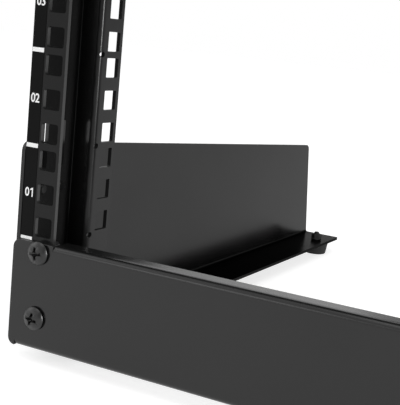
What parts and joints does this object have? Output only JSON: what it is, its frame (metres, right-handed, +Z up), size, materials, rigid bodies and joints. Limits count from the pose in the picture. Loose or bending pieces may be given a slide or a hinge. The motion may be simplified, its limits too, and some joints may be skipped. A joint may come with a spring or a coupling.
{
  "type": "two post open frame rack",
  "caption": "Desktop open frame rack with two folded posts of square holes, cross beams and long foot plates on rubber feet.",
  "frame": {"origin": "on the floor, under the middle of the whole rack's bounding box", "axes": "+X to the right of someone facing the front, +Y back, +Z up"},
  "size_m": [0.5012, 0.3646, 0.6464],
  "materials": {
    "post_coat": "black fine powder coat",
    "plate_coat": "black fine powder coat",
    "beam_coat": "black fine powder coat",
    "strip_film": "matte black printed film",
    "foot_rubber": "matte black rubber",
    "screw_black": "black zinc",
    "nut_steel": "black zinc"
  },
  "bodies": {
    "root": {"bottom_beam": "beam_coat", "bottom_beam_nut_left_lower": "nut_steel", "bottom_beam_nut_left_upper": "nut_steel", "bottom_beam_nut_right_lower": "nut_steel", "bottom_beam_nut_right_upper": "nut_steel", "bottom_beam_screw_left_lower": "screw_black", "bottom_beam_screw_left_upper": "screw_black", "bottom_beam_screw_right_lower": "screw_black", "bottom_beam_screw_right_upper": "screw_black", "foot_plate_left": "plate_coat", "foot_plate_right": "plate_coat", "post_left": "post_coat", "post_right": "post_coat", "rubber_foot_left_front": "foot_rubber", "rubber_foot_left_rear": "foot_rubber", "rubber_foot_right_front": "foot_rubber", "rubber_foot_right_rear": "foot_rubber", "side_screw_left_front_lower": "screw_black", "side_screw_left_front_upper": "screw_black", "side_screw_left_rear_lower": "screw_black", "side_screw_left_rear_upper": "screw_black", "side_screw_right_front_lower": "screw_black", "side_screw_right_front_upper": "screw_black", "side_screw_right_rear_lower": "screw_black", "side_screw_right_rear_upper": "screw_black", "top_beam": "beam_coat", "top_beam_nut_left_lower": "nut_steel", "top_beam_nut_left_upper": "nut_steel", "top_beam_nut_right_lower": "nut_steel", "top_beam_nut_right_upper": "nut_steel", "top_beam_screw_left_lower": "screw_black", "top_beam_screw_left_upper": "screw_black", "top_beam_screw_right_lower": "screw_black", "top_beam_screw_right_upper": "screw_black", "unit_strip_left": "strip_film", "unit_strip_right": "strip_film"}
  },
  "joints": []
}
